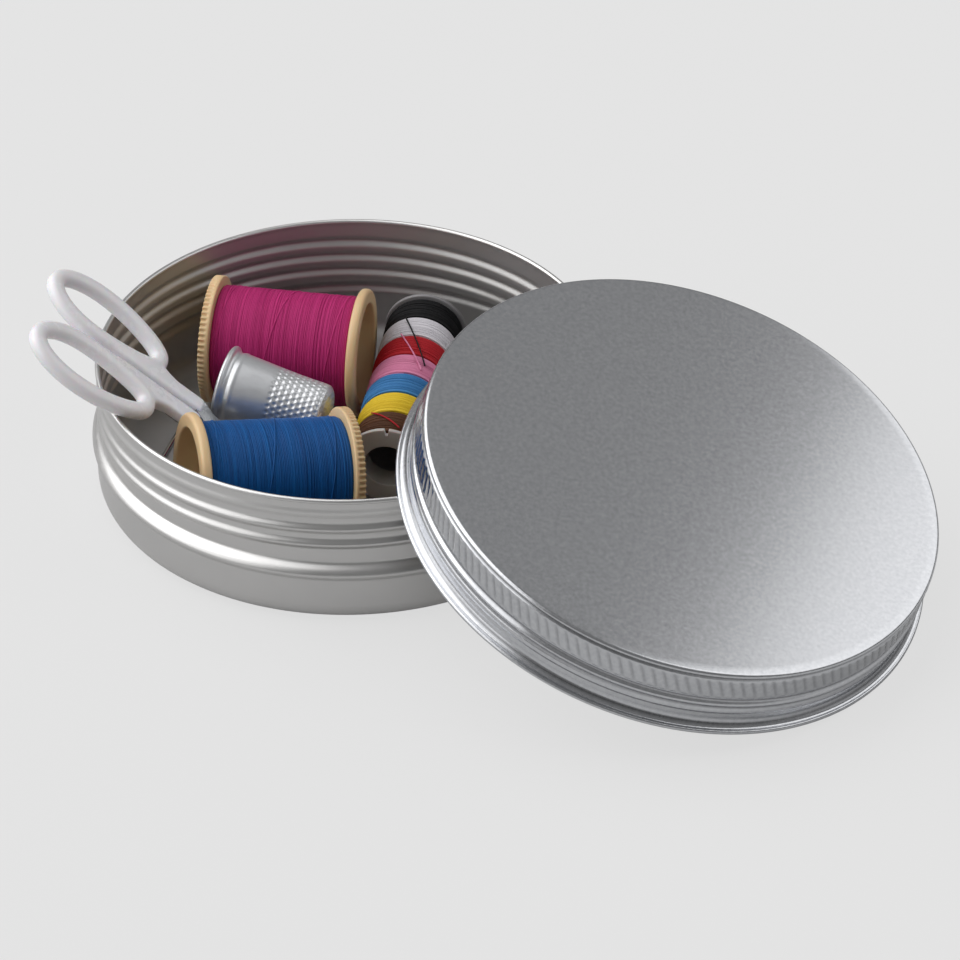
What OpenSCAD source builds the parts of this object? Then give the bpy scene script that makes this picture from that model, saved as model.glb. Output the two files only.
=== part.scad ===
// Sewing tin: a screw-top aluminium tin with its lid off, leaning on the rim, and the sewing kit inside.
// Millimetres, +Z up, origin at the centre of the underside of the tin.

/* [Tin] */
// Height of the tin over its rolled rim
tin_h = 27.6; // [24:0.2:34]
// Outer radius of the rolled rim
rim_r = 48.6; // [46:0.1:52]
// Radius of the wire-like curl of the rim
rim_curl_r = 0.5; // [0.4:0.05:0.7]
// Outer radius of the plain lower wall
wall_r = 49.2; // [48.9:0.1:50]
// Radius of the rounded base edge
base_edge_r = 4; // [2.5:0.25:6]
// Thickness of the sheet
sheet_t = 0.36; // [0.25:0.01:0.5]
// Outward swell of the bead that the closed lid stops on
stop_bead_h = 0.7; // [0.3:0.05:1]
// Height of that bead's middle above the base
stop_bead_z = 11.2; // [9:0.1:13]
// Width of that bead
stop_bead_w = 3; // [2:0.1:4]
// Outward swell of the screw beads on the neck
screw_bead_h = 0.55; // [0.3:0.05:0.8]
// Distance from one screw bead to the next
screw_pitch = 3.4; // [3:0.1:4]
// Height of the lowest screw bead's middle
screw_z = 17.9; // [17:0.1:19]

/* [Lid] */
// Height of the lid from the hem's curl to its flat top
lid_h = 14.3; // [13:0.1:17]
// Outer radius of the lid's skirt
lid_r = 49.35; // [49.1:0.05:51]
// Radius of the rounded top edge
lid_edge_r = 1.6; // [0.8:0.1:2.4]
// Outer radius of the flared hem
hem_r = 51.2; // [50.6:0.1:53]
// Radius of the hem's curl
hem_curl_r = 0.5; // [0.4:0.05:0.7]
// Swell of the lid's screw bead
lid_bead_h = 0.45; // [0.2:0.05:0.7]
// Swell of the band that the knurling is rolled on
grip_band_h = 0.2; // [0.1:0.05:0.4]
// Width of that band
grip_band_w = 5; // [3:0.1:6]
// Thickness of the foam liner inside the lid
liner_t = 1.2; // [0.8:0.1:2]
// Lean of the lid away from level
lid_tilt = 18.3; // [16:0.1:20]
// Direction that the lid leans towards, seen from above
lid_turn = -33.3; // [-40:0.1:-25]
// Distance from the tin's axis to the middle of the lid's hem
lid_reach = 70.6; // [70.4:0.1:76]

/* [Spools] */
// Length of a spool over both flanges
spool_l = 31.4; // [28:0.2:32]
// Radius of the flanges
flange_r = 12.7; // [12:0.05:12.9]
// Thickness of a flange
flange_t = 2; // [1.4:0.1:2.4]
// Radius of the thread on the spool
thread_r = 11.1; // [10.8:0.05:11.5]
// Outer radius of the spool's barrel
barrel_r = 9.6; // [9:0.1:9.7]
// Wall of the barrel
barrel_t = 0.6; // [0.5:0.05:1.2]
// Number of teeth round the notched flange
tooth_n = 72; // [48:1:90]
// Depth of those teeth
tooth_h = 0.5; // [0.3:0.05:0.7]
// Radius of the hole in the notched flange
cap_hole_r = 3.6; // [2.5:0.1:5]
// Diameter of the drawn outer turns of thread
turn_d = 0.9; // [0.7:0.05:1]
// Number of drawn outer turns on a spool
turn_n = 13; // [10:1:16]
// Middle of the magenta spool
magenta_at = [-12.9, 24, 13.2];
// Direction of the magenta spool's smooth end
magenta_turn = -9.6; // [-11:0.1:-8]
// Middle of the blue spool
blue_at = [-14.8, -23.5, 15.25];
// Direction of the blue spool's smooth end
blue_turn = 195.5; // [194:0.1:197]
// Rise of the blue spool towards its smooth end
blue_rise = 8; // [7:0.1:9]

/* [Thimble] */
// Length of the thimble
thimble_l = 21.5; // [19:0.1:23]
// Radius over its rolled rim
thimble_rim_r = 8.3; // [7.8:0.05:8.5]
// Radius of the wall next to the rim
thimble_mouth_r = 7.8; // [7.3:0.05:8]
// Radius of the wall next to the closed end
thimble_tip_r = 5.9; // [5.4:0.05:6.1]
// Thickness of its wall
thimble_t = 0.6; // [0.4:0.05:0.8]
// Middle of the thimble's mouth
thimble_at = [-24.45, 2.2, 18.25];
// Direction of the thimble's closed end, seen from above
thimble_turn = -16; // [-18:0.5:-14]
// Drop of the thimble towards its closed end
thimble_drop = 8; // [6:0.5:10]

/* [Scissors] */
// Length from the end of the finger loops to the blades' points
scissors_l = 67; // [60:0.5:68]
// Length of a finger loop along its middle line
loop_l = 28.5; // [25:0.5:30]
// Width of a finger loop across its middle line
loop_w = 12.4; // [11:0.1:12.6]
// Width of the loops' moulding
loop_t = 3.5; // [3:0.1:3.8]
// Height of the loops' moulding
loop_h = 3.1; // [2.8:0.1:3.6]
// Length of the moulded shank past the loops
shank_l = 9.5; // [8:0.5:11]
// Half the width of the shank where it ends
shank_w = 4.1; // [3.5:0.1:4.5]
// Width of one blade at the pivot
blade_w = 3.6; // [3:0.1:4]
// Thickness of a blade
blade_t = 0.9; // [0.7:0.05:1]
// Radius of the pivot rivet's shank
rivet_r = 0.9; // [0.7:0.05:1.1]
// Distance from the end of the shank forward to the pivot
pivot_back = 5.5; // [5:0.25:8]
// Distance of the scissors' resting point inside the rim
scissors_in = 3.2; // [3:0.1:6]
// Its distance to the side of the tin's middle line
scissors_aside = 8.7; // [6:0.1:12]
// Its height over the rim
scissors_over = 6.1; // [6:0.1:8]
// Slope of the scissors down into the tin
scissors_drop = 40.2; // [39:0.1:41]
// Turn of the scissors, seen from above
scissors_turn = -4; // [-6:0.5:-3]
// Roll of the scissors about their own length
scissors_roll = 4.5; // [4:0.5:6]

/* [Thread reel] */
// Length of the many-coloured reel over its ends
reel_l = 48.5; // [44:0.5:49]
// Radius of its end rims
reel_rim_r = 8.3; // [7.8:0.05:8.4]
// Radius of the thread on it
reel_thread_r = 8; // [7.4:0.05:8.1]
// Outer radius of its tube
reel_tube_r = 6.4; // [5.5:0.1:6.6]
// Wall of its tube
reel_tube_t = 0.9; // [0.6:0.05:1.2]
// Thickness of its end rims
reel_rim_t = 0.9; // [0.7:0.05:1.4]
// Diameter of the drawn turns on the reel
reel_turn_d = 0.8; // [0.6:0.05:0.9]
// Length of the end cap's collar inside the tube
reel_spigot_l = 4; // [3:0.5:6]
// Middle of the reel's far end
reel_at = [14.3, 37, 8.75];
// Direction that the reel points from its near end
reel_turn = 81.6; // [80.5:0.1:82.5]

/* [Needle] */
// Length of the sewing needle
needle_l = 29; // [26:0.5:32]
// Radius of the needle
needle_r = 0.42; // [0.3:0.02:0.5]
// Distance from the needle's blunt end to its eye
needle_eye_z = 1.2; // [1:0.1:2]
// Length of the eye
needle_eye_l = 1.4; // [1:0.1:2]
// Middle of the needle's eye end
needle_at = [-39.1, -4.5, 0.85];
// Direction of the needle's point
needle_turn = 74.5; // [70:0.5:78]

/* [Fit] */
// Gap between pieces that rest on or beside each other
rest_gap = 0.05; // [0.02:0.01:0.1]
// Gap between pieces that slide into each other
slide_gap = 0.12; // [0.08:0.01:0.2]

/* [Hidden] */
$fn = 96;
neck_r = rim_r - 0.55;
neck_start = stop_bead_z + stop_bead_w / 2;
neck_blend = 1.2;
screw_bead_w = 2.6;
wall_steps = 84;
lid_step = 0.3;
liner_gap = 0.3;
hem_z = hem_curl_r;
hem_flare_h = 2.4;
grip_top = lid_edge_r + 1.1;
lid_bead_z = lid_h - grip_top - grip_band_w - 1.6;
lid_bead_w = 2.4;
lid_centre_r = hem_r - hem_curl_r;
lid_rise = hem_curl_r + lid_centre_r * sin(lid_tilt);
turn_rings = 16;
turn_sides = 6;
turn_r = thread_r - turn_d / 2;
core_r = turn_r * cos(180 / turn_rings) - turn_d / 2 - rest_gap;
wind_half = spool_l / 2 - flange_t;
elbow_r = 0.9;
reel_turn_rings = 10;
reel_turns = 3;
reel_elbow_r = 0.5;
reel_core_r = reel_thread_r - reel_turn_d - rest_gap;
reel_notch_n = 6;
reel_band_n = 7;
reel_band_w = (reel_l - 2 * reel_rim_t - (reel_band_n + 1) * rest_gap) / reel_band_n;
scissors_at = [scissors_in - rim_r, -scissors_aside, tin_h + scissors_over];
loop_end = loop_t / 2 + loop_l;
shank_end = loop_t / 2 + loop_end + shank_l;
pivot_x = shank_end + pivot_back;
loop_gap = 0.35;
blade_lift = blade_t / 2 + rest_gap / 2;
edge_w = 1;
loop_rings = 44;
loop_sides = 12;
reach_to_rim = 19.4;
tail_r = 0.22;
tail_sides = 8;

// A rounded swell of width w and height h with its middle at c, as a function of the height z
function swell(z, c, w, h) = abs(z - c) < w / 2 ? h * (1 + cos(360 * (z - c) / w)) / 2 : 0;
// A smooth change from a to b while z goes from z0 to z0 + w
function change(z, z0, w, a, b) = z <= z0 ? a : z >= z0 + w ? b : (a + b) / 2 + (a - b) / 2 * cos(180 * (z - z0) / w);
// The points of a line moved sideways by t, to the left of its direction
function moved(p, t) = [for (i = [0:len(p) - 1])
    let (a = p[max(i - 1, 0)], b = p[min(i + 1, len(p) - 1)], d = b - a)
    p[i] + t / norm(d) * [-d[1], d[0]]];
function reversed(p) = [for (i = [len(p) - 1:-1:0]) p[i]];

// Outer radius of the tin's wall at the height z
function tin_wall(z) = z < base_edge_r
    ? wall_r - base_edge_r + sqrt(base_edge_r * base_edge_r - pow(base_edge_r - z, 2))
    : change(z, neck_start - neck_blend / 2, neck_blend, wall_r, neck_r)
        + swell(z, stop_bead_z, stop_bead_w, stop_bead_h)
        + swell(z, screw_z, screw_bead_w, screw_bead_h)
        + swell(z, screw_z + screw_pitch, screw_bead_w, screw_bead_h)
        + swell(z, screw_z + 2 * screw_pitch, screw_bead_w, screw_bead_h / 2);

module tin_body() {
    top = tin_h - rim_curl_r;
    edge = [for (a = [0:10:80]) [wall_r - base_edge_r + base_edge_r * sin(a), base_edge_r * (1 - cos(a))]];
    wall = [for (i = [0:wall_steps])
        let (z = base_edge_r + (top - base_edge_r) * i / wall_steps) [tin_wall(z), z]];
    outer = concat([[0, 0]], edge, wall);
    inner = [for (q = moved(outer, sheet_t)) [max(q[0], 0), q[1]]];
    color("silver") rotate_extrude() {
        polygon(concat(outer, reversed(inner)));
        translate([rim_r - rim_curl_r, top]) circle(r = rim_curl_r, $fn = 24);
    }
}

// Outer radius of the lid's skirt at the height z over the hem
function lid_wall(z) = change(z, hem_z, hem_flare_h, hem_r - 2 * hem_curl_r + sheet_t, lid_r)
    + swell(z, lid_bead_z, lid_bead_w, lid_bead_h)
    + (abs(z - (lid_h - grip_top - grip_band_w / 2)) < grip_band_w / 2 ? grip_band_h : 0);

module on_lid() {
    turn = [lid_reach * cos(lid_turn), lid_reach * sin(lid_turn), lid_rise];
    translate(turn) rotate([0, 0, lid_turn]) rotate([0, lid_tilt, 0]) translate([0, 0, -hem_z]) children();
}

module lid_shell() {
    skirt = [for (z = [hem_z:lid_step:lid_h - lid_edge_r - 0.01]) [lid_wall(z), z]];
    edge = [for (a = [0:15:90]) [lid_r - lid_edge_r * (1 - cos(a)), lid_h - lid_edge_r * (1 - sin(a))]];
    outer = concat(skirt, edge, [[0, lid_h]]);
    inner = [for (q = moved(outer, sheet_t)) [max(q[0], 0), q[1]]];
    color("gainsboro") on_lid() rotate_extrude() {
        polygon(concat(outer, reversed(inner)));
        translate([hem_r - hem_curl_r, hem_z]) circle(r = hem_curl_r, $fn = 24);
    }
}

module lid_liner() {
    color("whitesmoke") on_lid() translate([0, 0, lid_h - sheet_t - rest_gap - liner_t])
        cylinder(r = lid_r - lid_edge_r - sheet_t - liner_gap, h = liner_t);
}

// Lays a piece whose length runs along Z from its middle to a place, a turn and a rise
module laid(at, turn, rise) {
    translate(at) rotate([0, 90 - rise, turn]) children();
}

module spool_barrel() {
    half = spool_l / 2;
    lip = flange_t / 2;
    bore = barrel_r - barrel_t;
    mouth = bore + 0.9;
    rotate_extrude() polygon(concat(
        [[bore, -half + flange_t + rest_gap], [barrel_r, -half + flange_t + rest_gap],
            [barrel_r, half - flange_t], [flange_r - lip, half - flange_t]],
        [for (a = [-75:15:75]) [flange_r - lip + lip * cos(a), half - lip + lip * sin(a)]],
        [[flange_r - lip, half], [mouth + 0.5, half]],
        [for (a = [0:15:90]) [mouth + 0.5 - 0.5 * sin(a), half - 0.5 + 0.5 * cos(a)]],
        [[bore, half - 2 * flange_t]]));
}

module spool_cap() {
    half = spool_l / 2;
    step = 360 / tooth_n;
    ring = barrel_r - barrel_t - slide_gap;
    rim = [for (i = [0:tooth_n - 1]) each [
        [(flange_r - tooth_h) * cos(i * step), (flange_r - tooth_h) * sin(i * step)],
        [flange_r * cos((i + 0.35) * step), flange_r * sin((i + 0.35) * step)],
        [flange_r * cos((i + 0.65) * step), flange_r * sin((i + 0.65) * step)]]];
    translate([0, 0, -half]) difference() {
        union() {
            linear_extrude(flange_t) polygon(rim);
            cylinder(r = ring, h = flange_t + 3);
        }
        translate([0, 0, -1]) cylinder(r = cap_hole_r, h = flange_t + 2);
        translate([0, 0, flange_t]) cylinder(r = ring - barrel_t, h = 4);
    }
}

module thread_core() {
    inside = wind_half - 2 * rest_gap;
    difference() {
        cylinder(r = core_r, h = 2 * inside, center = true);
        cylinder(r = barrel_r + rest_gap, h = 2 * inside + 2, center = true);
    }
}

// Rings of one unbroken winding, each as its angle, its height and its climb towards the axis
function wind_rings(r, half, d, elbow, turns, rings) =
    let (z0 = -half + d + elbow, rise = 2 * (half - d - elbow) / (turns * rings), last = turns * rings * 360 / rings)
    concat(
        [[-57.3 * elbow / r, -half, 90], [-57.3 * elbow / r, -half + d, 90]],
        [for (a = [22.5:22.5:67.5]) [-57.3 * elbow * sin(90 - a) / r, z0 - elbow * (1 - cos(90 - a)), 90 - a]],
        [for (i = [0:turns * rings]) [i * 360 / rings, z0 + i * rise, 0]],
        [for (a = [22.5:22.5:67.5]) [last + 57.3 * elbow * sin(a) / r, -z0 + elbow * (1 - cos(a)), a]],
        [[last + 57.3 * elbow / r, half - d, 90], [last + 57.3 * elbow / r, half, 90]]);
// Middle of a ring of the winding
function ring_middle(g, r) = [r * cos(g[0]), r * sin(g[0]), g[1]];
// Least gap between parts of the winding that lie more than half a turn apart
function least_gap(g, r, d, rings) = min([for (i = [0:len(g) - 1], j = [i + ceil(rings / 2):1:len(g) - 1])
    norm(ring_middle(g[i], r) - ring_middle(g[j], r)) - d]);

module winding(r, half, d, elbow, turns, rings, label) {
    g = wind_rings(r, half, d, elbow, turns, rings);
    n = len(g);
    s = turn_sides;
    echo(str(label, ": least gap of the winding to itself ", least_gap(g, r, d, rings), " mm"));
    points = [for (q = g) for (k = [0:s - 1])
        let (out = [cos(q[0]), sin(q[0]), 0], side = [-sin(q[0]), cos(q[0]), 0],
            up = cos(q[2]) * [0, 0, 1] - sin(q[2]) * side, f = (k + 0.5) * 360 / s)
        ring_middle(q, r) + d / 2 * (cos(f) * out + sin(f) * up)];
    faces = concat(
        [[for (k = [s - 1:-1:0]) k]],
        [for (i = [0:n - 2], k = [0:s - 1]) each
            let (a = i * s + k, b = i * s + (k + 1) % s)
            [[a, b + s, a + s], [a, b, b + s]]],
        [[for (k = [0:s - 1]) (n - 1) * s + k]]);
    polyhedron(points, faces);
}

module spool_turns(label) {
    winding(turn_r, wind_half - rest_gap, turn_d, elbow_r, turn_n, turn_rings, label);
}

module magenta_spool() {
    color("burlywood") laid(magenta_at, magenta_turn, 0) spool_barrel();
}

module magenta_spool_cap() {
    color("burlywood") laid(magenta_at, magenta_turn, 0) spool_cap();
}

module magenta_thread() {
    color("mediumvioletred") laid(magenta_at, magenta_turn, 0) thread_core();
}

module magenta_outer_turns() {
    color("deeppink") laid(magenta_at, magenta_turn, 0) spool_turns("magenta spool");
}

module blue_spool() {
    color("burlywood") laid(blue_at, blue_turn, blue_rise) spool_barrel();
}

module blue_spool_cap() {
    color("burlywood") laid(blue_at, blue_turn, blue_rise) spool_cap();
}

module blue_thread() {
    color("navy") laid(blue_at, blue_turn, blue_rise) thread_core();
}

module blue_outer_turns() {
    color("steelblue") laid(blue_at, blue_turn, blue_rise) spool_turns("blue spool");
}

module thimble() {
    roll = (thimble_rim_r - thimble_mouth_r + thimble_t) / 2;
    dome = 1.6;
    start = 2 * roll;
    wall = [[thimble_mouth_r, roll], [thimble_tip_r + 0.3, thimble_l - dome - 1.2]];
    nose = [for (a = [20:20:80]) [(thimble_tip_r) * cos(a * 0.55), thimble_l - dome + dome * sin(a)]];
    outer = concat(wall, [[thimble_tip_r, thimble_l - dome]], nose, [[0, thimble_l]]);
    inner = [for (q = moved(outer, thimble_t)) [max(q[0], 0), q[1]]];
    color("lightgray") laid(thimble_at, thimble_turn, -thimble_drop) rotate_extrude() {
        polygon(concat(outer, reversed(inner)));
        translate([thimble_rim_r - roll, roll]) circle(r = roll, $fn = 24);
    }
}

// The scissors' own frame: X runs to the points, Y across the loops, Z out of the upper face
module on_scissors() {
    translate(scissors_at) rotate([0, scissors_drop, scissors_turn]) rotate([scissors_roll, 0, 0])
        translate([-reach_to_rim, 0, 0]) children();
}

// Middle line of a finger loop: round at its far end and drawn to a point towards the shank
function loop_line(a) =
    let (x = -cos(a), y = sin(a), narrow = 1 - 0.28 * pow((x + 1) / 2, 2))
    [loop_t / 2 + loop_l * (1 + x) / 2, loop_gap + loop_t / 2 + loop_w / 2 * (1 + y * narrow) - 0.9 * (x + 1) / 2];

module finger_loop() {
    n = loop_rings;
    s = loop_sides;
    line = [for (i = [0:n - 1]) loop_line(i * 360 / n)];
    points = [for (i = [0:n - 1]) for (k = [0:s - 1])
        let (d = line[(i + 1) % n] - line[(i + n - 1) % n], side = [-d[1], d[0]] / norm(d), f = k * 360 / s)
        [line[i][0] + loop_t / 2 * cos(f) * side[0], line[i][1] + loop_t / 2 * cos(f) * side[1],
            loop_h / 2 * sin(f)]];
    faces = [for (i = [0:n - 1], k = [0:s - 1]) each
        let (a = i * s + k, b = i * s + (k + 1) % s, c = ((i + 1) % n) * s + k, e = ((i + 1) % n) * s + (k + 1) % s)
        [[a, c, e], [a, e, b]]];
    polyhedron(points, faces);
}

module half_shank() {
    thick = loop_h - 0.1;
    root = loop_end - 2.5;
    hull() {
        translate([root, loop_gap + 1, 0]) cylinder(r = 1, h = thick, center = true, $fn = 24);
        translate([loop_end + 0.6, shank_w + 1.6, 0]) cylinder(r = 0.8, h = thick * 0.8, center = true, $fn = 24);
        translate([shank_end - 1, loop_gap + 1, 0]) cylinder(r = 1, h = thick * 0.9, center = true, $fn = 24);
        translate([shank_end - 1, shank_w - 1, 0]) cylinder(r = 1, h = thick * 0.9, center = true, $fn = 24);
    }
}

module handle() {
    tang = blade_w + 2 * slide_gap;
    slot = blade_t + 2 * slide_gap;
    difference() {
        union() {
            finger_loop();
            half_shank();
        }
        translate([loop_end + 1, loop_gap, blade_lift - slot / 2]) cube([3 * shank_l, tang, slot]);
    }
}

// A flat blade: its tang lies in the shank, its spine crosses the middle line at the pivot
module blade() {
    start = loop_end + 1.2;
    low = loop_gap + slide_gap;
    swell = blade_w / 2 + 0.4;
    translate([0, 0, blade_lift - blade_t / 2]) difference() {
        linear_extrude(blade_t) polygon([
            [start, low], [pivot_x - 7, low], [pivot_x - 3.4, -swell], [pivot_x + 3, -swell],
            [scissors_l - 0.6, -0.35], [scissors_l, 0], [scissors_l - 0.6, 0.2],
            [pivot_x + 3, edge_w], [pivot_x - 3, swell], [pivot_x - 6, low + blade_w], [start, low + blade_w]]);
        translate([pivot_x, 0, -1]) cylinder(r = rivet_r + slide_gap / 2, h = blade_t + 2);
    }
}

module scissors_upper_handle() {
    color("ghostwhite") on_scissors() handle();
}

module scissors_upper_blade() {
    color("darkgray") on_scissors() blade();
}

module scissors_lower_handle() {
    color("white") on_scissors() rotate([180, 0, 0]) handle();
}

module scissors_lower_blade() {
    color("gray") on_scissors() rotate([180, 0, 0]) blade();
}

module scissors_rivet() {
    stack = 2 * blade_t + 3 * rest_gap;
    color("dimgray") on_scissors() translate([pivot_x, 0, 0]) {
        cylinder(r = rivet_r, h = stack + 0.4, center = true);
        for (m = [0, 1]) mirror([0, 0, m]) translate([0, 0, stack / 2])
            cylinder(r1 = rivet_r + 0.8, r2 = rivet_r + 0.3, h = 0.5);
    }
}

// The reel's own frame: Z runs from its near, capped end to its far end
module on_reel() {
    laid(reel_at, reel_turn, 0) translate([0, 0, -reel_l]) children();
}

module reel_tube() {
    color("lightgray") on_reel() difference() {
        union() {
            translate([0, 0, reel_rim_t + rest_gap]) cylinder(r = reel_tube_r, h = reel_l - reel_rim_t - rest_gap);
            translate([0, 0, reel_l - reel_rim_t]) cylinder(r = reel_rim_r, h = reel_rim_t);
        }
        translate([0, 0, -1]) cylinder(r = reel_tube_r - reel_tube_t, h = reel_l + 2);
    }
}

module reel_end_cap() {
    spigot = reel_tube_r - reel_tube_t - slide_gap;
    color("snow") on_reel() difference() {
        union() {
            cylinder(r = reel_rim_r, h = reel_rim_t);
            cylinder(r = spigot, h = reel_rim_t + reel_spigot_l);
        }
        translate([0, 0, -1]) cylinder(r = spigot - reel_tube_t, h = reel_rim_t + reel_spigot_l + 2);
        for (i = [0:reel_notch_n - 1]) rotate([0, 0, 30 + i * 360 / reel_notch_n])
            translate([reel_rim_r - 1.2, -0.4, -1]) cube([2, 0.8, reel_rim_t + 2]);
    }
}

module reel_band(i, label) {
    z0 = reel_l - reel_rim_t - rest_gap - (i + 1) * reel_band_w - i * rest_gap;
    on_reel() translate([0, 0, z0 + reel_band_w / 2]) {
        difference() {
            cylinder(r = reel_core_r, h = reel_band_w, center = true);
            cylinder(r = reel_tube_r + rest_gap, h = reel_band_w + 1, center = true);
        }
        winding(reel_thread_r - reel_turn_d / 2, reel_band_w / 2, reel_turn_d, reel_elbow_r,
            reel_turns, reel_turn_rings, label);
    }
}

module reel_black_thread() {
    color("black") reel_band(0, "black band");
}

module reel_white_thread() {
    color("white") reel_band(1, "white band");
}

module reel_red_thread() {
    color("crimson") reel_band(2, "red band");
}

module reel_pink_thread() {
    color("hotpink") reel_band(3, "pink band");
}

module reel_blue_thread() {
    color("steelblue") reel_band(4, "blue band");
}

module reel_yellow_thread() {
    color("gold") reel_band(5, "yellow band");
}

module reel_brown_thread() {
    color("saddlebrown") reel_band(6, "brown band");
}

// A thread end laid over the bands: it leaves one band and runs slantwise along the reel
module thread_end(from_z, to_z, from_a, to_a) {
    n = 10;
    s = tail_sides;
    r = reel_thread_r + tail_r + rest_gap;
    points = [for (i = [0:n]) for (k = [0:s - 1])
        let (u = i / n, a = from_a + (to_a - from_a) * u, z = from_z + (to_z - from_z) * u, f = k * 360 / s,
            out = [cos(a), sin(a), 0], side = [-sin(a), cos(a), 0])
        r * out + [0, 0, z] + tail_r * (cos(f) * out + sin(f) * side)];
    down = to_z < from_z;
    faces = concat(
        [[for (k = [0:s - 1]) down ? s - 1 - k : k]],
        [for (i = [0:n - 1], k = [0:s - 1]) each
            let (a = i * s + k, b = i * s + (k + 1) % s)
            down ? [[a, b, b + s], [a, b + s, a + s]] : [[a, b + s, b], [a, a + s, b + s]]],
        [[for (k = [0:s - 1]) n * s + (down ? k : s - 1 - k)]]);
    polyhedron(points, faces);
}

module reel_thread_ends() {
    band = reel_band_w;
    color("dimgray") on_reel() {
        thread_end(reel_l - 1.1 * band, reel_l - 2.9 * band, 196, 138);
        thread_end(reel_l - 2.1 * band, reel_l - 3.6 * band, 190, 128);
    }
}

module sewing_needle() {
    color("silver") laid(needle_at, needle_turn, 0) difference() {
        union() {
            cylinder(r = needle_r, h = needle_l * 0.7);
            translate([0, 0, needle_l * 0.7]) cylinder(r1 = needle_r, r2 = 0.08, h = needle_l * 0.3);
            sphere(r = needle_r);
        }
        for (z = [needle_eye_z, needle_eye_z + needle_eye_l]) translate([0, 0, z]) rotate([90, 0, 0]) cylinder(r = 0.16, h = 2, center = true);
    }
}

tin_body();
lid_shell();
lid_liner();
magenta_spool();
magenta_spool_cap();
magenta_thread();
magenta_outer_turns();
blue_spool();
blue_spool_cap();
blue_thread();
blue_outer_turns();
thimble();
scissors_upper_handle();
scissors_upper_blade();
scissors_lower_handle();
scissors_lower_blade();
scissors_rivet();
reel_tube();
reel_end_cap();
reel_black_thread();
reel_white_thread();
reel_red_thread();
reel_pink_thread();
reel_blue_thread();
reel_yellow_thread();
reel_brown_thread();
reel_thread_ends();
sewing_needle();
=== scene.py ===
import bpy
import bmesh
import numpy as np
from math import pi, radians, sin, cos
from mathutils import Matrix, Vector


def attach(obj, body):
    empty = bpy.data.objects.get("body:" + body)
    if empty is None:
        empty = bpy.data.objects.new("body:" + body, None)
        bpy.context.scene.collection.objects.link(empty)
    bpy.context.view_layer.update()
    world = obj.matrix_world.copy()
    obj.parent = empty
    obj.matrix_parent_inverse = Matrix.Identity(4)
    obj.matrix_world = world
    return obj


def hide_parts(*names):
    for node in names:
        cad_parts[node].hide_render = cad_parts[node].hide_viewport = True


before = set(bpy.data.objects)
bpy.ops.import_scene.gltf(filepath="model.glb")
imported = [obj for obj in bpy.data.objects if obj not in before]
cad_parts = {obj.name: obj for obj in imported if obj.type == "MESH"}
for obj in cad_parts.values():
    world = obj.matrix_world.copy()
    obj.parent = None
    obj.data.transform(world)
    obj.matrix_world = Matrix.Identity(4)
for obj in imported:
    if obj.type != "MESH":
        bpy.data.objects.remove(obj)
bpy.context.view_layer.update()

# Sewing tin with its lid leaning on the rim and the sewing kit inside.
# Shapes are worked out in millimetres and scaled to metres when they become meshes.
toMetres, toMillimetres = 0.001, 1000
print("stage: frame loaded")


def turnAbout(axis, degrees):
    # rotation matrix about X, Y or Z by an angle in degrees
    a = radians(degrees)
    c, s = cos(a), sin(a)
    return {"x": np.array([[1, 0, 0], [0, c, -s], [0, s, c]]),
            "y": np.array([[c, 0, s], [0, 1, 0], [-s, 0, c]]),
            "z": np.array([[c, -s, 0], [s, c, 0], [0, 0, 1]])}[axis]


def carried(grid, matrix, at):
    # every point p of the grid becomes matrix * p + at
    return grid @ np.asarray(matrix).T + np.asarray(at, float)


def laidAlong(grid, at, turn, rise):
    # the grid's Z axis is laid down, raised by rise and turned by turn, then moved to at
    return carried(grid, turnAbout("z", turn) @ turnAbout("y", 90 - rise), at)


def revolved(profile, columns, bend=None):
    # a profile of (radius, height) rows goes round Z: x = r cos a, y = r sin a; bend(r, z, a) may change r
    a = np.linspace(0, 2 * pi, columns, endpoint=False)[None, :]
    r = np.repeat(np.asarray(profile)[:, :1], columns, 1)
    z = np.repeat(np.asarray(profile)[:, 1:2], columns, 1)
    if bend is not None:
        r = bend(r, z, np.repeat(a, len(r), 0))
    return np.stack([r * np.cos(a), r * np.sin(a), z], -1)


def roundedCorners(points, radii, steps):
    # each corner of a closed polygon becomes a curve tangent to its two sides:
    # (1 - t)^2 start + 2 t (1 - t) corner + t^2 end, for t from 0 to 1
    pts = np.asarray(points, float)
    t = np.linspace(0, 1, steps)[:, None]
    out = []
    for i, radius in enumerate(np.broadcast_to(radii, len(pts))):
        a, b, c = pts[i - 1], pts[i], pts[(i + 1) % len(pts)]
        if radius <= 0:
            out.append(b[None])
            continue
        before, after = np.linalg.norm(a - b), np.linalg.norm(c - b)
        u, w = (a - b) / before, (c - b) / after
        half = np.arccos(np.clip(u @ w, -1, 1)) / 2
        back = min(radius / np.tan(half), 0.45 * before, 0.45 * after)
        out.append((1 - t) ** 2 * (b + u * back) + 2 * t * (1 - t) * b + t ** 2 * (b + w * back))
    return np.concatenate(out)


def denser(loop, gap):
    # points are added along a closed line so that no two neighbours lie further apart than gap
    start = np.asarray(loop, float)
    step = np.roll(start, -1, 0) - start
    count = np.maximum(1, np.ceil(np.linalg.norm(step, axis=1) / gap)).astype(int)
    side = np.repeat(np.arange(len(count)), count)
    index = np.arange(len(side)) - (np.cumsum(count) - count)[side]
    return start[side] + step[side] * index[:, None] / count[side][:, None]


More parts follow.
